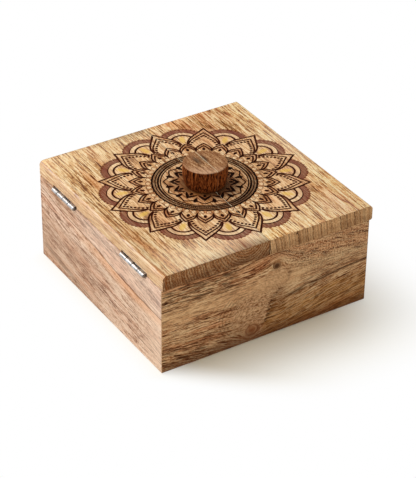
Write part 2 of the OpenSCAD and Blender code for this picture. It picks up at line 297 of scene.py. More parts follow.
def wood(
    name, axes, pith, palette, low, high,
    ring_mm=3.4, contrast=1, pore=1, line=1, dash_mm=9, coarse=1, late_line=0.12,
    fibre_mm=6, speckle=0.36,
    tilt=0, bend=9, wander=1.2, knots=(), flow=None, marks=None,
    end_colour="#A87850", end_share=0.7, end_ring_mm=1.4, end_ring=0.75,
    end_line_mm=5, end_line=0,
    edge_colour="#E6BE93", edge_share=0.35, finish=None, rough=0.56, seed=0,
):
    """Sawn, oiled wood. axes are the axis along the grain, across the board and through
    it. pith is where the tree's middle lies, across and through. tilt turns the grain
    within the face, bend and wander are how far it strays, and flow(along, across, spot)
    shifts it where one board needs that. The dark dashes are about dash_mm long, the fibres
    about fibre_mm. speckle is how strong the fine grit is. marks(g, along, across, side,
    spot, paint) paints what one board alone shows, and spot(middle, size) is a soft patch."""
    g = Graph(bpy.data.materials.new(name))
    place = g.place()
    along, across, deep = (place[i] for i in axes)
    spot = partial(around, along, across)

    # the grain wanders slowly, trembles a little and parts round knots
    slow = g.noise([along / 130 + seed, across / 45, deep / 45], 1) - 0.5
    tremble = g.noise([along / 16, across / 6 + seed, deep / 6]) - 0.5
    side = across + along * tilt + slow * bend + tremble * wander
    for knot in knots:
        side = side - (across - knot.at[1]) * spot(knot.at, knot.reach) * knot.pull
        side = side + spot(knot.at, knot.heart) * knot.lift
    if flow:
        side = side + flow(along, across, spot)
    inward = deep + (g.noise([along / 90, across / 50, deep / 50 + seed], 1) - 0.5) * 7
    radius = ((side - pith[0]).squared() + (inward - pith[1]).squared()).root()

    # growth rings: broad bands, narrow rings with a sharp late edge, and single dark lines
    bands = g.noise([radius / 9, along / 400, seed])
    ring = g.math("FRACT", radius / ring_mm + bands * 1.7)
    late = ring.rise(0.25, 0.93) * ring.fall(0.94, 1)
    late = late * g.noise([radius / 3, along / 60, 3 + seed], 1).rise(0.35, 0.7)

    # streaks, fibres, dark dashes, pores and broad patches, all drawn out along the grain
    patch = g.noise([along / 42, side / 6.5, inward / 9 + seed], 3, 0.55).rise(0.33, 0.67)
    streak = g.noise([along / 34, side / (1.5 * coarse), inward / 1.5], 2, 0.55).rise(0.34, 0.66)
    fibre = g.noise([along / fibre_mm, side / (0.9 * coarse), inward / 0.9], 2, 0.6).rise(0.34, 0.66)
    dashes = g.noise([along / dash_mm, side / coarse, inward + 20], 1, 0.5)
    dashes = (dashes + patch * 0.04).fall(0.42, 0.48)
    mark, luck = g.specks([along / 4.6, side / 0.7, inward / 0.7], 0.36)
    pores = mark * luck.rise(0.2, 0.7)
    fleck = g.noise([along / 1.9, side / 0.9, inward / 0.9 + 9], 2, 0.6).rise(0.34, 0.66)

    tone = (
        0.7
        + (streak - 0.5) * (0.22 * contrast)
        + (fibre - 0.5) * (0.42 * contrast)
        + (patch - 0.5) * (0.2 * contrast)
        + (fleck - 0.5) * (speckle * contrast)
        + (bands - 0.5) * (0.4 * contrast)
        - dashes * (0.46 * line)
        - late * (late_line * contrast)
        - pores * (0.3 * pore)
    )
    dark, low_tone, middle, light, warm = palette
    paint = Paint(g, g.ramp(
        tone.clipped(), (0.02, dark), (0.34, low_tone), (0.62, middle), (1, light)
    ))
    warmth = g.noise([along / 55, side / 9, inward / 14 + 11 + seed]).rise(0.45, 0.75)
    paint(warmth * 0.55, warm, "MULTIPLY")

    # end grain drinks more oil, and shows fine rings and a few thin dark lines
    cut = abs(g.facing()[axes[0]]).rise(0.55, 0.85)
    bent = radius + (g.noise([place[1] / 5, place[2] / 5, seed]) - 0.5) * 1.8
    fine = g.math("FRACT", bent / end_ring_mm)
    fine = fine.rise(0.25, 0.8) * fine.fall(0.85, 1)
    thin = g.math("FRACT", bent / end_line_mm + bands * 2.5).bump(0.5, 0.07)
    broad = g.noise([bent / 2.6, seed, 1], 2, 0.6).rise(0.34, 0.66)
    grit = g.noise([place[1] / 0.7, place[2] / 1.4, place[0] / 0.7]).rise(0.3, 0.7)
    shade = Paint(g, paint.colour)
    shade(end_share, end_colour)
    shade((broad - 0.5).clipped() * 0.3, light)
    shade((0.5 - broad).clipped() * 0.8, dark)
    shade(fine * bands.rise(0.2, 0.5) * end_ring, dark)
    shade((grit - 0.5).clipped() * 0.5, light)
    shade((0.5 - grit).clipped() * 0.7, dark)
    shade(thin * end_line, "#3B2012")
    paint(cut, shade.colour)

    for knot in knots:
        wave = g.noise([along / 1.3, across / 1.3, deep / 4])
        heart = spot(knot.at, knot.heart)
        paint((heart * 1.5 - wave * 0.5).clipped() * 0.85, knot.colour)
    if marks:
        marks(g, along, across, side, spot, paint)

    # worn edges, partly a painted highlight where edges catch the light
    edge = arris(g, place, low, high)
    worn_and_lit_edge = edge.fall(0.15, 1.1) * g.noise([part / 2.2 for part in place], 3).rise(0.3, 0.65)
    paint(worn_and_lit_edge * edge_share, edge_colour)

    height = fibre * 0.03 + streak * 0.022 - pores * 0.06 - dashes * 0.035
    gloss = rough + (fibre - 0.5) * 0.14 + pores * 0.2 + (patch - 0.5) * 0.1
    if finish:
        height, gloss = finish(g, place, paint, height, gloss, fibre)
    WOODS[name] = g.surface(
        paint.colour, gloss.clipped(), height,
        Specular_IOR_Level=0.02, Coat_Weight=0.01, Coat_Roughness=0.4,
    )


# Materials by name, filled by wood()
WOODS = {}

# Darkest, dark, middle and light tone of each wood, and the tint of its warmer patches
LID_PALETTE = ("#603012", "#B27C44", "#E2B47C", "#FCE6BC", "#F0B890")
BACK_PALETTE = ("#664436", "#A98470", "#D0AE98", "#EBD4C3", "#EEC8B2")
END_PALETTE = ("#401E10", "#9C6644", "#D09C6E", "#F6D6AC", "#E8AA86")
FRONT_PALETTE = ("#5C3620", "#A87850", "#CCA07A", "#EACBA8", "#EAB492")
RIGHT_PALETTE = ("#4A2A18", "#90623E", "#BE8E62", "#E0BE92", "#E4AC86")
PANEL_PALETTE = ("#8A6238", "#CDAE7E", "#E2C89C", "#F3E4C4", "#F0C8A0")
KNOB_PALETTE = ("#1C0702", "#4A1E0A", "#743516", "#B86A34", "#C8703E")

# The left wall's knots: how far back of its middle, and how far up
UPPER_KNOT = (-7.4, 59.1)
LOWER_KNOT = (12.6, 10.4)


def back_marks(g, along, across, side, spot, paint):
    """One long dark ring with a rosy band under it, and grey streaks low on the left, as
    seen from behind."""
    line = g.curve(along, [(-89, 47.2), (-35, 50.2), (15, 55.8), (50, 57.2), (75, 61.5), (89, 64)])
    off = across - line
    strength = g.noise([along / 14, 2, 0]).rise(0.2, 0.6)
    rosy = off.rise(-11, -3) * off.fall(-1, 0.3) * along.fall(-25, 55)
    paint(rosy * 0.42, "#E9A878")
    above = off.rise(0, 2)
    paint(above * along.rise(20, 60) * 0.25, "#A88468")
    paint(above * along.fall(0, 50) * 0.32, "#F0D8CC")
    far = along.rise(-60, 40) * across.fall(38, 48)
    paint(far * 0.34, "#A4826C")
    near = along.fall(-84, -50) * across.fall(40, 60)
    paint(near * 0.45, "#F8DCC8")
    paint(off.bump(0, 0.75) * (strength * 0.5 + 0.4), "#6E3D2C")
    low = around(along, across + along * -0.13, (60, 2), (34, 2.4))
    paint(low * 0.55, "#7A6050")
    middle = around(along, across + along * -0.02, (18, 40.8), (20, 1))
    paint(middle * 0.6, "#7C5340")
    figure = spot((10, 21.5), (6, 1.8)) + spot((-22, 18.5), (9, 1.1))
    curl = g.noise([along / 5, across / 1.2, 4]).rise(0.4, 0.6)
    paint((figure * curl).clipped() * 0.6, "#6F4C3C")


def left_flow(along, across, spot):
    """The end wall's grain climbs over the upper knot, and fans out to the front and back."""
    front = (-12 - along).most(0)
    back = (along - 12).most(0)
    fan = front * (across.rise(32, 56) * 0.31 - 0.18)
    sag = back * across.fall(12, 36) * 0.17
    hump = spot((-7.4, 63), (13, 9)) * 5
    dip = spot((12, 5), (22, 8)) * 3
    return fan - sag - hump + dip


def left_marks(g, along, across, side, spot, paint):
    """Grey lines high at the back, dark rising bands low at the front, and between the
    knots a pale column of cross-grained wood with a dark edge, all on the outer face."""
    plain = paint.colour
    outer = g.facing()[0].fall(-0.9, -0.5)
    wave = g.noise([along / 13, side / 1.6, 5], 3, 0.6)
    wobble = (g.noise([along / 3, across / 3, 8]) - 0.5) * 4
    front_edge = g.curve(
        across, [(6, 5), (20, 1), (33.5, -4), (40, -11), (46, -17.5), (54, -16.5), (60, -8)]
    )
    back_edge = g.curve(across, [(6, 16), (18.5, 29), (33.5, 28.5), (46, 11), (54, 0), (60, -4)])
    off = along - front_edge + wobble
    ahead = off.fall(-3, 1)
    inside_it = off.rise(-0.6, 0.8) * (back_edge - along + wobble * 2).rise(-3, 5)
    column = inside_it * across.rise(6, 16) * across.fall(50, 60)
    swirl = wobble + (along - 8).squared() * 0.02
    curls = g.noise([along / 2.6, (across + swirl) / 1.3, 6], 2, 0.6).rise(0.34, 0.66)
    cross = g.ramp(curls, (0, "#744628"), (0.45, "#C49066"), (1, "#F0C8A0"))
    paint(column * 0.66, cross)

    band = side.bump(29, 3.4) * ahead * along.fall(-22, -10).most(0.3)
    paint((band * wave.rise(0.3, 0.55)).clipped() * 0.85, "#41291A")
    high = side.bump(34.5, 2) * along.fall(-40, -20)
    paint((high * wave.rise(0.35, 0.6)).clipped() * 0.6, "#523624")
    low = ahead * across.fall(16, 36)
    paint(low * 0.42, "#A0661E")
    paint(low * wave.rise(0.5, 0.64) * 0.6, "#4E2C14")
    paint(low * wave.fall(0.36, 0.5) * 0.35, "#DCA464")
    gold = low * side.bump(17, 4) * along.fall(-50, -25)
    paint(gold * wave.fall(0.4, 0.55) * 0.4, "#D8983E")
    speckle = g.noise([along / 1.3, side / 0.8, 7], 2, 0.6)
    upper = off.fall(-10, 2) * across.rise(38, 50)
    paint(upper * speckle.rise(0.48, 0.62) * 0.6, "#F4D0A4")
    paint(upper * speckle.fall(0.36, 0.5) * 0.6, "#60402C")
    paler = across.bump(46, 12) * off.rise(-30, -8)
    paint(paler * (0.2 + speckle * 0.4), "#F0C090")
    grey = along.rise(15, 35) * across.rise(48, 58)
    paint(grey * wave.rise(0.47, 0.6) * 0.8, "#58422F")
    rise = along.rise(20, 60) * across.fall(16, 26)
    paint(rise * wave.rise(0.46, 0.6) * 0.75, "#54331E")
    edge = off.bump(-2.2, 3.4) * across.rise(10, 16) * across.fall(34, 42)
    paint(edge * curls.fall(0.2, 0.75) * 0.95, "#3C2010")
    beside = off.bump(-1, 2.2) * across.rise(40, 44) * across.fall(50, 56)
    paint(beside * 0.4, "#6E4630")

    paint(spot((24, 9), (20, 9)) * 0.4, "#6E4426")
    paint(spot((-11, 33), (9, 10)) * 0.36, "#74492A")

    # nested arcs behind the column
    ring = (((along - 16) / 19).squared() + ((across - 26) / 17).squared()).root()
    arcs = g.math("FRACT", ring * 6.5 + wobble * 0.1).bump(0.5, 0.4) * curls.fall(0.3, 0.9)
    arcs = arcs * ring.bump(1.1, 0.5) * along.rise(20, 32)
    paint(arcs.clipped() * 0.75, "#5A341C")

    # the knots: a halo round each, a ring in the lower one's, and their hearts
    paint(spot(UPPER_KNOT, (6.5, 5.5)) * 0.4, "#C89468")
    paint(spot(LOWER_KNOT, (7.5, 6)) * 0.45, "#C07C4C")
    paint(spot(LOWER_KNOT, (5.2, 4.6)).bump(0.4, 0.22) * 0.6, "#6A3418")
    paint(spot(LOWER_KNOT, (2.6, 2.2)) * 0.5, "#74381C")
    paint((spot(UPPER_KNOT, (2.9, 2.6)) * 1.4).clipped() * 0.8, "#452616")
    smear = spot((63, 36), (6.5, 1.3)) * wave.rise(0.3, 0.6)
    paint((smear * 1.5).clipped() * 0.75, "#5E3826")
    paint(across.fall(1, 13) * 0.66, "#5A2A10")
    paint.colour = g.mix(outer, plain, paint.colour)


# Overlaid on wood, makes it paler and keeps its grain
PALER = "#D6CEC6"
# Mixed into wood, makes it look dry and bleached
BLEACHED = "#FFE8CB"


def end_shade(g, across):
    """1 low on the lid's ends in drifting patches, 0 high on them and on its other faces."""
    cut = abs(g.facing()[0]).rise(0.55, 0.85)
    low = g.place()[2].fall(LID_LOW[2] + 1, LID_LOW[2] + 9)
    drift = g.noise([across / 16, low * 1.2, 7], 2, 0.6).rise(0.25, 0.6)
    return cut * low * drift


def lid_marks(g, along, across, side, spot, paint):
    """Paler strips along the edges, dark streaks and a painted highlight near the back edge, and two
    reddish flaws that run in from the ends."""
    up = g.facing()[2].rise(0.5, 0.9)
    paint(end_shade(g, across) * 0.6, "#4A2210")
    paint(spot((-42, 79), (30, 10)) * 0.26, "#A0622C")
    strip = across.rise(70, 84) * up
    paint(strip * 0.36, PALER, "OVERLAY")
    paint(strip * 0.05, BLEACHED)
    back_edge = g.facing()[1].rise(0.4, 0.9)
    paint(back_edge * 0.6, PALER, "OVERLAY")
    grain = g.noise([along / 16, g.place()[2] / 0.7, 3], 3, 0.6).rise(0.3, 0.7)
    paint(back_edge * 0.62, g.mix(grain, "#B48A6E", "#F2D8C0"))
    left = along.fall(-80, -44) * across.fall(64, 96) * up
    paint(left * 0.75, PALER, "OVERLAY")
    paint(left * 0.34, BLEACHED)
    right = along.rise(50, 84) * up
    paint(right * 0.5, PALER, "OVERLAY")
    paint(right * 0.14, BLEACHED)
    back = spot((-10, 82.5), (60, 1.2))
    torn = g.noise([along / 12, across / 0.8, 2], 3).rise(0.4, 0.6)
    paint((back * torn).clipped() * 0.75, "#7A431C")
    arris_line = across.bump(LID_HIGH[1] - 2.6, 1.3) * torn.most(0.3) * along.fall(50, 85)
    paint(arris_line * 0.85, "#8A4A1E")
    # painted highlight along the back edge's rounding
    rounding_highlight = across.bump(LID_HIGH[1] - 1.1, 0.7)
    paint(rounding_highlight * torn * 0.4, "#F3E2DC")
    waver = (torn - 0.5) * 0.8
    flaw = around(along, across - along * 0.02 + waver, (-84, 20.2), (10, 0.9))
    halo = spot((-86, 17), (15, 9))
    far = around(along, across + along * 0.02 + waver, (84, 48.6), (16, 0.8))
    paint(halo * up * 0.35, "#CC8A62")
    paint((flaw * 1.3).clipped() * up * 0.8, "#8C3E22")
    paint((far * 1.2).clipped() * 0.7, "#9A5630")


def lid_front_marks(g, along, across, side, spot, paint):
    """A pale strip along the front edge, golden in the middle and rosy at its left end, and
    reddish streaks at the right."""
    wave = g.noise([along / 20, side / 2.2, 4], 2, 0.6).rise(0.35, 0.65)
    up = g.facing()[2].rise(0.5, 0.9)
    paint(end_shade(g, across) * 0.4, "#5A2E14")
    strip = across.fall(-84, -62) * up
    paint(strip, PALER, "OVERLAY")
    middle = strip * along.bump(14, 60)
    paint(strip * 0.05 + middle * 0.24, BLEACHED)
    golden = spot((-14, -74), (26, 5))
    paint(golden * wave * 0.35, "#E09A50")
    rosy = spot((-76, -70), (18, 16)) * up
    paint(rosy * wave * 0.4, "#F0B49A")
    left = along.fall(-80, -40) * across.rise(-72, -56) * up
    paint(left * 0.7, PALER, "OVERLAY")
    paint(left * across.fall(-30, -10) * 0.12, BLEACHED)
    streaks = along.rise(40, 80) * wave.rise(0.6, 1)
    paint(streaks * 0.6, "#B4683C")


CARVING_X = 0.6

# The burnt and tinted parts of the carving
CHAR = "#1C0A04"
EMBER = "#40180A"
SCORCH = "#8C4018"
PURPLE = "#6E3028"
YELLOW = "#E8BC58"
CREAM = "#F4D8AE"
PEACH = "#FFCC9E"
OIL = "#B8824E"
# soot, also used for painted shade round the knob
SOOT_AND_SHADE = "#3E2618"
GLUE = "#F6E2BC"


def joint_gap(g, x, y):
    """Distance from the glued joint, with a slight wobble, in millimetres."""
    slope = JOINT_ALONG.y / JOINT_ALONG.x
    line = (x - JOINT_LEFT.x) * slope + JOINT_LEFT.y
    return abs(y - line) + (g.noise([x / 2.4, 3, 0]) - 0.5) * 0.3


def carved(g, place, paint, height, gloss, fibre):
    """The burn, tints and shades that are stored on the carved mesh, over the wood, with a painted
    reflection of the knob and painted shade round it.
    """
    burn, purple, yellow = g.attribute("burn")
    cream, oil, soot_and_shade = g.attribute("shade")
    grit = g.noise([place[0] / 0.5, place[1] / 0.5, place[2] / 0.5], 3)
    uneven = g.noise([place[0] / 9, place[1] / 9, 1])
    middle = Vector((CARVING_X, on_joint(CARVING_X).y))
    reach = ((place[0] - middle.x).squared() + (place[1] - middle.y).squared()).root()
    field = reach.fall(76, 80) * g.facing()[2].rise(0.2, 0.4)
    share = 0.13 + reach.rise(46, 56) * 0.08 + place[1].fall(-56, -30) * 0.07
    paint(field * share, PEACH)
    # oil, which near the knob is also painted shade
    paint(oil * 0.9, OIL, "MULTIPLY")
    # painted warm reflection of the knob on the wood below its left side
    knob_reflection = around(place[0], place[1], (-17, 17), (12, 10)) * uneven.rise(0.3, 0.6)
    paint((oil * knob_reflection).clipped() * 0.8, "#C87828")
    # painted shade: the knob's shadow to one side, and the darker side of the ring
    shaded_side = place[0].fall(-28, -8) * 0.7 + place[0].rise(20, 36) * 0.5
    shaded_side = shaded_side + around(place[0], place[1], (-35, -12), (10, 12)) * 1.1
    paint((soot_and_shade * (0.25 + uneven * 1 + shaded_side)).clipped(), SOOT_AND_SHADE)
    paint(cream * 0.3, CREAM)
    paint(yellow * 0.66, YELLOW)
    band = (purple * (0.36 + grit * 0.45 + fibre * 0.4 + uneven * 0.2)).clipped()
    paint(band * 0.92, PURPLE)
    halo = (burn * (0.55 + grit * 0.5)).clipped()
    paint(halo.rise(0.02, 0.5) * 0.6, SCORCH)
    core = burn.rise(0.32, 0.62) * (0.88 + uneven * 0.24)
    paint(core.clipped(), g.mix(reach.rise(38, 54), CHAR, EMBER))

    # the glue line is pale across the carving and dark on the lid's ends
    x, y, _ = place
    gap = joint_gap(g, x, y)
    shown = x.rise(-56, -50) * 0.6 + x.fall(-50, -44).least(x.rise(-56, -50)) * 0.35
    shown = shown + x.rise(78, 82) * -0.35
    patchy = g.noise([x / 6, 9, 0]).rise(0.2, 0.55)
    paint(gap.fall(0.14, 0.4) * (shown + 0.08) * patchy.most(0.45), GLUE)
    cut = abs(g.facing()[0]).rise(0.55, 0.85)
    paint(gap.fall(0.2, 0.6) * cut * 0.8, CHAR)
    return height + burn * grit * 0.05, gloss + burn * 0.25


def knob_finish(g, place, paint, height, gloss, fibre):
    """The knob's top is paler than its side, with grey smudges beside the glue line and a painted
    highlight along one side of its edge; its side has painted shade at the foot and on one side, and
    painted light on another.
    """
    x, y, z = place
    top = z.rise(KNOB_HIGH[2] - 0.9, KNOB_HIGH[2] - 0.25)
    rays = g.noise([x / 1.3, y / 1.1, 3], 3, 0.65).rise(0.3, 0.7)
    stripes = g.noise([x / 9, y / 1.8, 5], 3, 0.65).rise(0.25, 0.75)
    pale = Paint(g, g.ramp(
        (rays * 0.4 + stripes * 0.6).clipped(),
        (0, "#3A2010"), (0.4, "#8A5832"), (0.7, "#C09064"), (1, "#F0CCA0"),
    ))
    rim = g.math("SQRT", (x - KNOB_CENTRE[0]).squared() + (y - KNOB_CENTRE[1]).squared())
    pale(rim.rise(KNOB_R * 0.35, KNOB_R) * 0.4, "#8C5A38")
    # painted highlight along one side of the top's edge
    near = ((y - KNOB_CENTRE[1]) * 0.5 - (x - KNOB_CENTRE[0]) * 0.85).rise(4, KNOB_R)
    pale(near * (0.25 + stripes * 0.4), "#E8BC98")
    smudge = around(x, y, (3.1, 2.7), (6, 1.9)) + around(x, y, (3.1, -3), (5.5, 1.8))
    pale((smudge * (0.7 + rays * 0.8)).clipped() * 0.8, "#3A2C24")
    paint(top, pale.colour)
    arris_line = z.bump(KNOB_HIGH[2] - 0.45, 0.4)
    paint(arris_line * 0.4, "#C89A78")
    # painted shade at the knob's foot, where it meets the lid
    low = z.fall(KNOB_LOW[2], KNOB_LOW[2] + 6)
    paint(low * 0.42, "#240C05")
    shaded = (y - KNOB_CENTRE[1]).rise(-6, 14) * (1 - top)
    paint(shaded * 0.3, "#2A0E05")
    lit = (x - KNOB_CENTRE[0]).fall(4, 15) * (y - KNOB_CENTRE[1]).fall(-15, -11) * (1 - top)
    paint(lit * 0.35, "#B0622E")
    glued = joint_gap(g, x, y).fall(0.06, 0.32) * (0.1 + top * 0.62)
    paint(glued, GLUE)
    return height, gloss + top * 0.06


wall_wood = partial(wood, low=BOX_LOW, high=BOX_HIGH)
wall_wood(
    "back_wood", (0, 2, 1), (210, 30), BACK_PALETTE, tilt=-0.085, marks=back_marks,
    contrast=1.25, line=0.7, dash_mm=10, ring_mm=4.2, fibre_mm=14, speckle=0.22, seed=1.7,
)
side_wood = partial(wall_wood, fibre_mm=11, speckle=0.24)
side_wood(
    "front_wood", (0, 2, 1), (-60, -40), FRONT_PALETTE, tilt=0.03, line=0.7, seed=5.1,
    knots=[Knot((38, 30), (26, 12), 0.8, 9, (3.2, 2.4))],
)
side_wood(
    "left_wood", (1, 2, 0), (150, -30), END_PALETTE, flow=left_flow, marks=left_marks,
    contrast=1.15, ring_mm=3, pore=1.2, bend=4, wander=2, coarse=0.75, seed=2.9,
    knots=[
        Knot(UPPER_KNOT, (9, 7), 0.5, 8, (2.4, 2.2), "#41281A"),
        Knot(LOWER_KNOT, (11, 8), 0.5, 9, (3.8, 3.2), "#6E3318"),
    ],
)
side_wood(
    "right_wood", (1, 2, 0), (-40, 60), RIGHT_PALETTE, tilt=-0.05, contrast=0.95, line=0.7,
    seed=8.3, knots=[Knot((-30, 44), (24, 14), 0.75, 9, (2.4, 2))],
)
wood(
    "panel_wood", (0, 1, 2), (30, -220), PANEL_PALETTE, *span("bottom_panel"),
    contrast=0.8, line=0.4, seed=4.4, rough=0.68,
)
lid_wood = partial(
    wood, axes=(0, 1, 2), palette=LID_PALETTE, low=LID_LOW, high=LID_HIGH, finish=carved,
    bend=4, wander=0.6, late_line=0.3, dash_mm=14, fibre_mm=15, speckle=0.2,
    end_share=0.9, edge_colour="#7A4A26",
)
lid_wood(
    "lid_back_wood", pith=(19, 88), marks=lid_marks, seed=6.2,
    end_colour="#AC7046", end_ring_mm=2.1, end_ring=0.8,
)
lid_wood(
    "lid_front_wood", pith=(180, 45), marks=lid_front_marks, seed=9.6,
    end_colour="#E2AC7C", end_ring_mm=2.3, end_ring=0.3, end_line_mm=4.8, end_line=0.95,
)
knob_wood = partial(
    wood, axes=(2, 0, 1), palette=KNOB_PALETTE, low=KNOB_LOW, high=KNOB_HIGH,
    finish=knob_finish, contrast=1.2, end_share=0, edge_share=0, rough=0.42,
)
knob_wood("knob_back_wood", pith=(60, 40), seed=3.3)
knob_wood("knob_front_wood", pith=(-30, -50), seed=7.7)


# ---- metal ----

KNUCKLES = 4


def knuckle_joints(g, x):
    """1 at the hinges' ends and where their knuckles meet, 0 between."""
    shown = None
    for side in ("left", "right"):
        low, high = span(f"{side}_hinge_pin")
        step = (high[0] - low[0]) / KNUCKLES
        share = (x - low[0]) / step
        on_it = share.rise(-0.3, -0.2) * share.fall(KNUCKLES + 0.2, KNUCKLES + 0.3)
        joint = abs(g.math("FRACT", share + 0.5) - 0.5).fall(0.15 / step, 0.6 / step) * on_it
        shown = joint if shown is None else shown.most(joint)
    return shown


def metal(name, bright, dull, rough, grime, joints=False):
    """Plated steel with fine scratches, clouded plating and grime that gathers in patches, and with
    joints painted shade where knuckles meet.
    """
    g = Graph(bpy.data.materials.new(name))
    x, y, z = g.place()
    cloud = g.noise([x / 2.6, y / 2.6, z / 2.6], 4, 0.6)
    scratch = g.noise([x / 3, y / 0.09, z / 0.09], 2, 0.7)
    pits = g.noise([x / 0.25, y / 0.25, z / 0.25]).rise(0.62, 0.75)
    paint = Paint(g, g.ramp(cloud, (0.25, dull), (0.7, bright)))
    dirt = g.noise([x / 1.4, y / 1.4, z / 1.4 + 4], 3).rise(0.55, 0.75)
    paint(dirt * grime, "#4A3A2A")
    if joints:
        # painted shade in the gaps where the knuckles meet and at the hinges' ends
        paint(knuckle_joints(g, x) * 0.85, "#3A2C22")
    gloss = rough + (cloud - 0.5) * 0.2 + scratch * 0.12 + dirt * 0.3
    height = scratch * 0.006 - pits * 0.012
    return g.surface(paint.colour, gloss.clipped(), height, Metallic=1)


NICKEL = metal("nickel", "#D2D2D4", "#98958F", rough=0.3, grime=0.6, joints=True)
SCREW_STEEL = metal("screw_steel", "#C4C2BE", "#96928C", rough=0.34, grime=0.4)
PIN_STEEL = metal("pin_steel", "#A8A6A2", "#7C7872", rough=0.4, grime=0.5)


# ---- pieces ----

EASE_MM = 0.3
SHARP = math.radians(30)


def add_piece(bm, name, node, material, body):
    """Makes a piece of a mesh. It moves with a body and stands for a CAD node."""
    mesh = bpy.data.meshes.new(name)
    bm.to_mesh(mesh)
    bm.free()
    mesh.materials.append(material)
    mesh.shade_smooth()
    mesh.set_sharp_from_angle(angle=SHARP)
    piece = bpy.data.objects.new(name, mesh)
    bpy.context.scene.collection.objects.link(piece)
    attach(piece, body)
    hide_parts(node)


def merged(node):
    """A CAD node's mesh with its points joined and its flat faces whole."""
    bm = bmesh.new()
    bm.from_mesh(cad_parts[node].data)
    bmesh.ops.remove_doubles(bm, verts=bm.verts, dist=1e-6)
    bmesh.ops.dissolve_limit(
        bm, angle_limit=math.radians(0.3), verts=bm.verts, edges=bm.edges,
        delimit={"NORMAL"},
    )
    return bm


def ease(bm, width_mm, shortest_mm=2, keep=lambda edge: False):
    """Rounds the sharp edges of a board a little, as sandpaper does."""
    edges = [
        e for e in bm.edges
        if len(e.link_faces) == 2 and e.calc_face_angle(0) > SHARP
        and e.calc_length() > shortest_mm * MM and not keep(e)
    ]
    bmesh.ops.bevel(
        bm, geom=edges, offset=width_mm * MM, segments=2, profile=0.5,
        affect="EDGES", clamp_overlap=True,
    )


def eased_piece(node, material, body, width_mm=EASE_MM, shortest_mm=2):
    """A finer copy of a CAD node, with eased edges, that stands for it."""
    bm = merged(node)
    ease(bm, width_mm, shortest_mm)
    add_piece(bm, f"{node}_eased", node, material, body)


def dress(material, *nodes):
    """Gives CAD nodes that are shown as they are their material."""
    for node in nodes:
        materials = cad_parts[node].data.materials
        materials.clear()
        materials.append(material)


# ---- the carving, drawn in millimetres: x is across a petal's axis, y is out from the middle ----

PETALS = 12
# Half the angle of a petal: the carving repeats this piece, mirrored and turned
WEDGE = math.pi / PETALS
# The carved disc's outer and inner radius
DISC_R = 81
SEAT_R = 11.5
# The scallops: their middle, and the radii of their arcs, purple bands and dots
SCALLOP_Y = 60.5
BAND_IN = 13.5
BAND_DOT_STEP = 3.12
BAND_OUT = 18.3
BAND_FADE = 18.9
BAND_FROM = 57
ARC_R = 9
YELLOW_Y = 62.8
YELLOW_HALF = np.array([2.3, 4.9])
# How deep a line is for its width, and at most, and how far it browns the wood beside it
DEPTH_SHARE = 0.72
DEEPEST = 0.85
SCORCH_REACH = 0.6
EDGE_REACH = 0.12
# How far the purple bands lie below the lid's top
SINK = 0.22
# The row of beads, the ring inside it and its grooves, ticks and dots
BEADS = 48
BEAD_R = 2
BEAD_ROW_R = 41.6
BEADS_OUT = 43.7
RING_OUT = 39.4
RING_IN = 32.6
RING_GROOVES = ((38.9, 1.3), (36.5, 0.8), (34.4, 1.4), (32.5, 0.9))
RING_TICKS = 288
RING_DOTS = 144
RING_DOT_ROW_R = 35.6
# Within this radius the wood gets darker towards the knob, with more oil and soot and painted shade of
# the knob
DUSK_R = 26


def bezier(points, count=14):
    """Points on a cubic curve."""
    t = np.linspace(0, 1, count)[:, None]
    a, b, c, d = (np.array(p, float) for p in points)
    return (1 - t) ** 3 * a + 3 * (1 - t) ** 2 * t * b + 3 * (1 - t) * t ** 2 * c + t ** 3 * d


def both_sides(line):
    """A line that starts on the axis, with its mirror image in front of it."""
    line = np.array(line, float)
    return np.concatenate([(line * [-1, 1])[:0:-1], line])


def circle(centre, radius, count, start=0, turn=2 * math.pi):
    """Points round a circle; a whole turn ends where it began."""
    a = np.linspace(start, start + turn, count + 1)
    return np.array(centre) + np.stack([np.sin(a), np.cos(a)], 1) * radius


def turned(points, angle):
    """Turns points about the middle, clockwise as seen from above with the axis upwards."""
    c, s = math.cos(angle), math.sin(angle)
    return np.asarray(points) @ np.array([[c, -s], [s, c]])


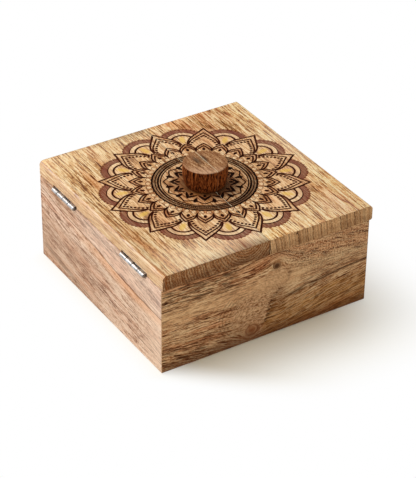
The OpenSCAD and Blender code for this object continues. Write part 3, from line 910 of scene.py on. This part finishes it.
class Stroke:
    """A carved line: its middle line, and its half width at each point of that line."""

    def __init__(self, line, width, burn=1, angle=0, scorched=True):
        self.line = turned(np.array(line, float), angle)
        step = np.linalg.norm(np.diff(self.line, axis=0), axis=1)
        share = np.concatenate([[0], np.cumsum(step)]) / step.sum()
        widths = np.atleast_1d(width)
        self.half = np.interp(share, np.linspace(0, 1, len(widths)), widths) / 2
        self.burn = burn
        self.scorch_reach = SCORCH_REACH if scorched else EDGE_REACH
        self.closed = bool(np.allclose(self.line[0], self.line[-1]))

    def normals(self):
        ahead = np.diff(self.line, axis=0)
        ahead /= np.linalg.norm(ahead, axis=1)[:, None]
        first, last = (ahead[-1], ahead[0]) if self.closed else (ahead[0], ahead[-1])
        before = np.vstack([first, ahead])
        after = np.vstack([ahead, last])
        mean = before + after
        mean /= np.maximum(np.linalg.norm(mean, axis=1), 1e-9)[:, None]
        stretch = 1 / np.maximum((mean * after).sum(1), 0.5)
        return np.stack([-mean[:, 1], mean[:, 0]], 1) * stretch[:, None]

    def outline(self, share, extra=0):
        """The line round the stroke at a share of its half width, plus an extra width."""
        reach = (self.half * share + extra)[:, None]
        left = self.line + self.normals() * reach
        right = self.line - self.normals() * reach
        if self.closed:
            return [left, right]
        caps = []
        for end, inner, radius in ((-1, -2, reach[-1, 0]), (0, 1, reach[0, 0])):
            out = self.line[end] - self.line[inner]
            facing = math.atan2(out[0], out[1])
            fan = facing + np.radians([-45, 0, 45])
            caps.append(self.line[end] + np.stack([np.sin(fan), np.cos(fan)], 1) * radius)
        return [np.concatenate([left, caps[0], right[::-1], caps[1], left[:1]])]

    def contours(self):
        shares = (1, 0.55) if self.half.max() > 0.38 else (1,)
        rows = [self.line] + [row for share in shares for row in self.outline(share)]
        return rows + self.outline(1, self.scorch_reach)


class Dot(Stroke):
    """A round pit with a clean edge."""

    def __init__(self, centre, radius, burn=1, angle=0, sides=8):
        centre = turned(np.array(centre, float), angle)
        super().__init__([centre, centre + [0, 1e-3]], 2 * radius, burn, scorched=False)
        self.sides = sides

    def contours(self):
        centre, radius = self.line[0], self.half[0]
        rows = [circle(centre, radius + more, self.sides) for more in (0, self.scorch_reach)]
        return rows + [np.array([centre, rows[0][0]])]


PETAL_OUTER = bezier([(0, 78.4), (4.4, 70), (13.4, 63.6), (12.2, 54.2)])
PETAL_INNER = bezier([(0, 71.9), (3.7, 66.4), (11.5, 61.4), (11.2, 54.2)])
PETAL_DOTS = bezier([(0, 67.5), (3.2, 63.8), (8.1, 60), (9.8, 53.7)], 7)
CUSP = bezier([(0, 55.9), (2.3, 52.7), (5.9, 51.4), (6.1, 46.3)], 10)
PETAL_SHAPE = both_sides(PETAL_OUTER)
PETAL_FIELD = both_sides(PETAL_INNER)
CUSP_SHAPE = both_sides(CUSP)


def inside(points, shape):
    """Which points lie inside a closed shape."""
    x, y = points[:, 0, None], points[:, 1, None]
    ax, ay = shape[:, 0], shape[:, 1]
    bx, by = np.roll(ax, -1), np.roll(ay, -1)
    crosses = (ay > y) != (by > y)
    at = ax + (y - ay) / np.where(by == ay, 1e-12, by - ay) * (bx - ax)
    return (crosses & (x < at)).sum(1) % 2 == 1


def in_shape(points, shape, turn=2 * WEDGE):
    """Which points lie in a shape on the petal's axis, or in its copy one turn further on."""
    return inside(points, shape) | inside(turned(points, -turn), shape)


def in_petals(points):
    """Which points lie in the petal on the axis or in the next one."""
    return in_shape(points, PETAL_SHAPE)


def in_cusps(points):
    """Which points lie in a cusp, on the axis of a petal or of a scallop."""
    return in_shape(points, CUSP_SHAPE, WEDGE)


def scallop_arc(radius, step_mm=0.9):
    """An arc round the scallop's middle that ends where it meets the petals."""
    fine = circle((0, SCALLOP_Y), radius, 360, 0, math.pi)
    reach = int(np.argmax(in_petals(turned(fine, WEDGE)))) / 360 * math.pi
    count = 2 * max(3, round(reach * radius / step_mm / 2))
    return circle((0, SCALLOP_Y), radius, count, -reach, 2 * reach)


def ring_arc(radius, count=12):
    """An arc about the middle that runs just past both sides of the wedge."""
    return circle((0, 0), radius, count + 2, -WEDGE / count, WEDGE * (count + 2) / count)


def mirrored(line, *widths, angle=0):
    """A carved line from the tip on the axis, with its mirror image. The widths are given
    from its foot to its tip."""
    return Stroke(both_sides(line), widths + widths[-2::-1], angle=angle)


def ring_spots(radius, count):
    """Points evenly round the middle, from just before the wedge to just past it."""
    step = 2 * math.pi / count
    steps = range(-1, count // (2 * PETALS) + 1)
    return [circle((0, 0), radius, 1, (k + 0.5) * step, 0)[0] for k in steps]


def strokes():
    """Every carved line that reaches into the wedge between a petal's and a scallop's axis."""
    made = [
        mirrored(PETAL_OUTER, 0.9, 1.25, 1.1, 1.4),
        mirrored(PETAL_INNER, 0.8, 1.05, 0.95, 1),
    ]
    made += [Dot(p, 1.15) for p in PETAL_DOTS]
    for axis in (0, WEDGE):
        made += [
            mirrored(CUSP, 1.3, 1.1, 1, 1.2, angle=axis),
            mirrored([(0, 52.3), (2.2, 50.1), (3.9, 48), (4.7, 46.2)], 0.4, 1, 1.3, 1.2, angle=axis),
            Stroke([(0, 48.9), (0, 47.6), (0, 46.3)], (0.9, 2.3, 1.9), angle=axis),
        ]
    made.append(Stroke([(0, 47.2), (0, 45.2), (0, 43)], (2.2, 1.5, 0.4), angle=WEDGE / 2))

    made += [
        Stroke(scallop_arc(BAND_IN - 0.2), 0.8, burn=0.85, angle=WEDGE, scorched=False),
        Stroke(scallop_arc(ARC_R), 1.35, angle=WEDGE),
    ]
    for k in range(-7, 7):
        spot = circle((0, SCALLOP_Y), BAND_OUT, 1, (k + 0.5) * BAND_DOT_STEP / BAND_OUT, 0)[:1]
        if not in_petals(turned(spot, WEDGE)).any():
            made.append(Dot(spot[0], 1.15, burn=0.54, angle=WEDGE))

    for spot in ring_spots(BEAD_ROW_R, BEADS):
        made.append(Stroke(circle(spot, BEAD_R, 16), 0.55, burn=0.6, scorched=False))
    made += [Stroke(ring_arc(r), w, scorched=False) for r, w in RING_GROOVES]
    for spot in ring_spots(1, RING_TICKS):
        made.append(Stroke([spot * 36.9, spot * 38.3], 0.3, burn=0.8, scorched=False))
    for spot in ring_spots(RING_DOT_ROW_R, RING_DOTS):
        made.append(Dot(spot, 0.38, burn=0.85, sides=6))

    zigzag = [(0, 30.4), (2.3, 29.2), (4.7, 27.2), (7.1, 27.3)]
    made += [
        mirrored(zigzag, 0.9, 0.8, 0.9),
        Stroke([(0, 28.6), (0, 27.4), (0, 26), (0, 23.4)], (1.6, 3.2, 2.4, 0.5), angle=WEDGE),
        mirrored([(0, 25), (1.9, 22.3), (4.3, 19.3)], 0.8, 2.2, 2.4),
        Stroke([(0, 21.2), (0, 20), (0, 18.8)], (0.8, 2.6, 1.8)),
    ]
    return made


def carve(points, lines):
    """How deep the carving goes at each point, and how burnt it is."""
    depth = np.zeros(len(points))
    burn = np.zeros(len(points))
    for s in lines:
        a, ab = s.line[:-1], np.diff(s.line, axis=0)
        rel = points[:, None] - a
        t = np.clip((rel * ab).sum(2) / (ab ** 2).sum(1), 0, 1)
        gap = np.linalg.norm(rel - t[..., None] * ab, axis=2)
        half = s.half[:-1] + t * np.diff(s.half)
        best = np.argmin(gap - half, axis=1)
        row = np.arange(len(points))
        gap, half = gap[row, best], half[row, best]
        bowl = np.clip(1 - (gap / np.maximum(half, 1e-6)) ** 2, 0, 1)
        depth = np.maximum(depth, bowl * np.minimum(2 * half * DEPTH_SHARE, DEEPEST))
        near = np.clip(1 - (gap - half) / s.scorch_reach, 0, 1)
        burn = np.maximum(burn, np.where(gap <= half, 0.62 + 0.38 * bowl ** 0.5, 0.55 * near) * s.burn)
    return depth, burn


def tints(points, petal):
    """Purple band, yellow wash, cream band, oil, and soot with painted shade, at each point, 0 to 1.
    """
    seen = turned(points, -WEDGE)
    radius = np.hypot(seen[:, 0], seen[:, 1] - SCALLOP_Y)
    outer = np.clip((BAND_FADE - radius) / (BAND_FADE - BAND_OUT), 0, 1)
    middle = np.hypot(points[:, 0], points[:, 1])
    petal = petal | (middle < BAND_FROM)
    purple = np.where(petal | (radius < BAND_IN), 0, outer)
    wash = np.hypot(*((seen - [0, YELLOW_Y]) / YELLOW_HALF).T)
    yellow = np.where(petal, 0, np.clip((1.15 - wash) / 0.3, 0, 1))
    cream = (~petal & (radius > ARC_R + 0.6) & (radius < BAND_IN - 0.7)).astype(float)
    bead = np.abs(np.arctan2(points[:, 0], points[:, 1]) * BEADS / (2 * math.pi) % 1 - 0.5)
    bead = np.hypot(bead * 2 * math.pi * BEAD_ROW_R / BEADS, middle - BEAD_ROW_R)
    cream = np.maximum(cream, 1.5 * (bead < BEAD_R - 0.4))
    # more oil inside the ring, and painted shade that deepens towards the knob
    oil_and_knob_shade = 0.34 + 0.6 * np.clip((DUSK_R - middle) / 8, 0, 1)
    oil = np.where(middle < RING_IN, oil_and_knob_shade, np.where(middle < RING_OUT, 0.4, 0))
    oil = np.where((middle > RING_OUT) & (middle < BEADS_OUT) & (bead > BEAD_R), 0.6, oil)
    oil = np.maximum(oil, 0.45 * in_cusps(points))
    oil = np.maximum(oil, 0.14 * (in_shape(points, PETAL_SHAPE) & ~in_shape(points, PETAL_FIELD)))
    # soot, with painted shade that darkens towards the knob
    soot_and_shade = 0.04 * (middle < RING_IN) + 0.75 * np.clip((DUSK_R - middle) / 9, 0, 1)
    soot_and_shade = np.where((middle > RING_IN - 0.2) & (middle < RING_OUT - 0.1), 0.32, soot_and_shade)
    return purple, yellow, cream, oil, soot_and_shade


def wedge():
    """The carved surface of one wedge: points, depths, burns, triangles and their tints."""
    lines = strokes()
    rows = [row for s in lines for row in s.contours()]
    rows += [turned(scallop_arc(r), WEDGE) for r in (BAND_OUT, BAND_FADE)]
    rows += [
        turned([0, YELLOW_Y] + circle((0, 0), 1, 16) * YELLOW_HALF * share, WEDGE)
        for share in (0.75, 1.15)
    ]
    rows += [ring_arc(r) for r in (RING_IN - 0.6, RING_OUT + 0.1, BEADS_OUT + 0.1)]
    low, high = SEAT_R, DISC_R
    for side in (0, WEDGE):
        rows.append(np.array([[math.sin(side), math.cos(side)]]) * [[low - 1], [high + 1]])
    rows += [ring_arc(low, 6), ring_arc(high, 6)]

    margin = 0.15 * WEDGE
    points, edges = [], []
    for row in rows:
        angle = np.arctan2(row[:, 0], row[:, 1])
        near = (angle > -margin) & (angle < WEDGE + margin)
        for k in range(len(row) - 1):
            if (near[k] or near[k + 1]) and np.linalg.norm(row[k] - row[k + 1]) > 1e-4:
                edges.append((len(points), len(points) + 1))
                points += [Vector(row[k]), Vector(row[k + 1])]
    flat, _, faces, *_ = delaunay_2d_cdt(points, edges, [], 0, 1e-4)
    flat = np.array([tuple(p) for p in flat])
    faces = np.array([f for f in faces if len(f) == 3])
    middle = flat[faces].mean(1)
    angle = np.arctan2(middle[:, 0], middle[:, 1])
    kept = (angle > 0) & (angle < WEDGE)
    kept &= inside(middle, np.vstack([ring_arc(high, 6), [[0, 0]]]))
    kept &= ~inside(middle, np.vstack([ring_arc(low, 6), [[0, 0]]]))
    faces = faces[kept]
    used, faces = np.unique(faces, return_inverse=True)
    flat, faces = flat[used], faces.reshape(-1, 3)
    middle = flat[faces].mean(1)

    depth, burn = carve(flat, lines)
    in_petal = in_petals(flat)
    purple = tints(flat, in_petal)[0]
    depth = np.maximum(depth, purple * SINK)
    corners = flat[faces].reshape(-1, 2)
    corner_tints = tints(corners, np.repeat(in_petals(middle), 3))
    return flat, depth, burn, faces, np.stack(corner_tints, 1).reshape(-1, 3, 5)


WEDGE_MESH = wedge()
CARVING_CENTRE = on_joint(CARVING_X)
GROOVE_DEPTH = 1.6 * MM


def add_carving(bm, side):
    """Adds half of the carved disc to a board: 1 behind the joint, -1 in front of it."""
    burn_layer, shade_layer = (
        bm.loops.layers.float_color[name] for name in ("burn", "shade")
    )
    flat, depth, burn, faces, corner_tints = WEDGE_MESH
    radius = np.hypot(flat[:, 0], flat[:, 1])
    angle = np.arctan2(flat[:, 0], flat[:, 1])
    added = []
    for k in range(PETALS):
        place = k if side > 0 else k + PETALS
        flipped = place % 2 == 1
        around_it = (place + 1) * WEDGE - angle if flipped else place * WEDGE + angle
        x = CARVING_CENTRE.x + radius * np.cos(around_it + JOINT_ANGLE)
        y = CARVING_CENTRE.y + radius * np.sin(around_it + JOINT_ANGLE)
        z = LID_TOP - depth
        verts = [bm.verts.new(Vector(p) * MM) for p in zip(x, y, z)]
        added += verts
        for face, tint in zip(faces, corner_tints):
            order = (0, 2, 1) if flipped else (0, 1, 2)
            made = bm.faces.new([verts[face[i]] for i in order])
            if made.normal.z < 0:
                made.normal_flip()
            for loop, i in zip(made.loops, order):
                purple, yellow, cream, oil, soot_and_shade = tint[i]
                loop[burn_layer] = (burn[face[i]], purple, yellow, 1)
                loop[shade_layer] = (cream, oil, soot_and_shade, 1)
    bmesh.ops.remove_doubles(bm, verts=added, dist=1e-7)


def off_joint(point):
    """Distance of a point from the joint's plane, towards the back, in metres."""
    return (point.to_2d() - JOINT_LEFT * MM).dot(JOINT_BACK)


def carved_board(node, side, slot):
    """A lid board with eased edges and its half of the carving cut into its top."""
    bm = merged(node)
    tiny = 2e-6
    top_z = LID_TOP * MM

    def carved_through(v):
        reach = (v.co.to_2d() / MM - CARVING_CENTRE).length
        return v.co.z > top_z - GROOVE_DEPTH and SEAT_R < reach < DISC_R

    grooves = [f for f in bm.faces if all(map(carved_through, f.verts))]
    bmesh.ops.delete(bm, geom=grooves, context="FACES")
    ease(bm, EASE_MM, keep=lambda e: all(abs(off_joint(v.co)) < 1e-6 for v in e.verts))
    bm.normal_update()

    def at_top(v):
        return abs(v.co.z - top_z) < tiny

    def at_joint(v):
        return abs(off_joint(v.co)) < tiny

    gone = [f for f in bm.faces if all(map(at_top, f.verts)) or all(map(at_joint, f.verts))]
    bmesh.ops.delete(bm, geom=gone, context="FACES")
    ends = sorted((v for v in bm.verts if at_top(v) and at_joint(v)), key=lambda v: v.co.x)
    uncarved = set(bm.verts)
    for name in ("burn", "shade"):
        bm.loops.layers.float_color.new(name)
    plain_faces = set(bm.faces)
    add_carving(bm, side)
    carved_faces = set(bm.faces) - plain_faces
    cut = {e for e in bm.edges if len(e.link_faces) == 1 and all(map(at_joint, e.verts))}
    rim = sorted(
        (v for v in bm.verts if at_joint(v) and v not in uncarved), key=lambda v: v.co.x
    )
    left = [v for v in rim if v.co.x < CARVING_CENTRE.x * MM]
    right = [v for v in rim if v.co.x > CARVING_CENTRE.x * MM]
    for a, b in ((ends[0], left[0]), (left[-1], ends[1]), (ends[2], right[0]), (right[-1], ends[3])):
        bm.edges.new((a, b))

    flat_rim = [
        e for e in bm.edges
        if len(e.link_faces) < 2 and all(map(at_top, e.verts)) and e not in cut
    ]
    bmesh.ops.triangle_fill(bm, use_beauty=True, edges=flat_rim, normal=(0, 0, 1))
    open_rim = [e for e in bm.edges if len(e.link_faces) < 2]
    joint_normal = Vector((*(-side * JOINT_BACK), 0))
    bmesh.ops.triangle_fill(bm, use_beauty=True, edges=open_rim, normal=joint_normal)
    for face in set(bm.faces) - carved_faces:
        for loop in face.loops:
            for layer in bm.loops.layers.float_color.values():
                loop[layer] = (0, 0, 0, 1)
    bmesh.ops.recalc_face_normals(bm, faces=bm.faces)
    add_piece(bm, f"{node}_carved", node, WOODS[slot], "lid")


# ---- making the pieces ----

for node, wood_name, slot in (
    ("back_wall", "back_wood", "back_wood"),
    ("front_wall", "front_wood", "front_wood"),
    ("left_wall", "left_wood", "end_wood"),
    ("right_wall", "right_wood", "end_wood"),
    ("bottom_panel", "panel_wood", "panel_wood"),
):
    eased_piece(node, WOODS[wood_name], "box")

carved_board("lid_back_board", 1, "lid_back_wood")
carved_board("lid_front_board", -1, "lid_front_wood")
for half in ("back", "front"):
    dress(WOODS[f"knob_{half}_wood"], f"knob_{half}_half")

for side in ("left", "right"):
    for part, body in (("wall", "box"), ("lid", "lid")):
        eased_piece(
            f"{side}_hinge_{part}_leaf", NICKEL, body, width_mm=0.08, shortest_mm=0.6,
        )
        dress(SCREW_STEEL, f"{side}_hinge_{part}_screws")
    dress(PIN_STEEL, f"{side}_hinge_pin")
dress(SCREW_STEEL, "bottom_panel_pins", "knob_screw")


# ---- floor, light and camera ----

FLOOR_HALF = 6
WHITE = (1, 1, 1, 1)


def shown_white(g):
    """1 where a surface or the world is seen or mirrored, or seen through glass, otherwise 0."""
    camera, glossy, through = (
        g.node("ShaderNodeLightPath", {}, out=ray)
        for ray in ("Is Camera Ray", "Is Glossy Ray", "Is Transmission Ray")
    )
    return camera.most(glossy).most(through)


def floor_material():
    """A pale floor that keeps the shadow beside the box's left end and turns plain white
    further off, soonest in front and behind. It can't be seen from below."""
    g = Graph(bpy.data.materials.new("floor"))
    x, y, _ = g.place()
    beside = (abs(x) - BOX_HIGH[0]).most(0)
    kept = beside.fall(-12, 92) * (y + beside).fall(58, 104) * y.rise(-155, -40)
    kept = kept * x.fall(BOX_HIGH[0] - 8, BOX_HIGH[0] + 10)
    diffuse = g.node("ShaderNodeBsdfDiffuse", {"Color": "#FDF5D8"})
    white = g.node("ShaderNodeEmission", {"Color": WHITE, "Strength": 1})
    clear = g.node("ShaderNodeBsdfTransparent", {})
    share = (1 - kept) * shown_white(g)
    ground = g.node("ShaderNodeMixShader", {0: share, 1: diffuse, 2: white})
    under = g.node("ShaderNodeNewGeometry", {}, out="Backfacing")
    return g.end(g.node("ShaderNodeMixShader", {0: under, 1: ground, 2: clear}))


floor_mesh = bpy.data.meshes.new("floor")
floor_mesh.from_pydata(
    [(x * FLOOR_HALF, y * FLOOR_HALF, 0) for x, y in ((-1, -1), (1, -1), (1, 1), (-1, 1))],
    [], [(0, 1, 2, 3)],
)
floor_mesh.materials.append(floor_material())
floor = bpy.data.objects.new("floor", floor_mesh)
bpy.context.scene.collection.objects.link(floor)


def studio_world(strength):
    """Even, plain light from all round, that the camera, metal and glass see as white."""
    world = bpy.data.worlds.new("studio")
    bpy.context.scene.world = world
    g = Graph(world)
    level = g.node(
        "ShaderNodeMapRange", {"Value": shown_white(g), "To Min": strength, "To Max": 1}
    )
    light = g.node("ShaderNodeBackground", {"Color": WHITE, "Strength": level})
    g.end(light, "ShaderNodeOutputWorld")


def aimed(azimuth, elevation, distance, roll=0):
    """The place of a camera or lamp that looks at the origin from the given angles, in
    degrees; azimuth 0 is in front of the box."""
    turn = (
        Matrix.Rotation(math.radians(azimuth), 4, "Z")
        @ Matrix.Rotation(math.radians(90 - elevation), 4, "X")
        @ Matrix.Rotation(math.radians(roll), 4, "Z")
    )
    return turn @ Matrix.Translation((0, 0, distance))


def placed(name, data, place):
    """Adds a camera or lamp to the scene."""
    made = bpy.data.objects.new(name, data)
    made.matrix_world = place
    bpy.context.scene.collection.objects.link(made)
    return made


CAMERA_VIEW = {"azimuth": 237.486, "elevation": 33.468, "roll": 0.751, "distance": 1.413546}
CAMERA_TARGET = Vector((-9.906, 0.644, 40)) * MM
CAMERA_LENS = 142.95


def add_camera():
    """The camera at the photograph's viewing angle."""
    data = bpy.data.cameras.new("camera")
    data.lens = CAMERA_LENS
    data.sensor_width = 36
    data.clip_start = 0.05
    data.clip_end = 30
    place = Matrix.Translation(CAMERA_TARGET) @ aimed(**CAMERA_VIEW)
    bpy.context.scene.camera = placed("camera", data, place)


def add_lamp(name, azimuth, elevation, distance, size, power):
    """A soft square lamp that points at the box."""
    data = bpy.data.lights.new(name, "AREA")
    data.size = size
    data.energy = power
    placed(name, data, aimed(azimuth, elevation, distance))


studio_world(strength=0.45)
add_lamp("key", azimuth=132, elevation=52, distance=1.6, size=0.9, power=15)
add_lamp("fill", azimuth=185, elevation=25, distance=1.6, size=1.2, power=5)
add_camera()

bpy.context.scene.view_settings.view_transform = "Standard"
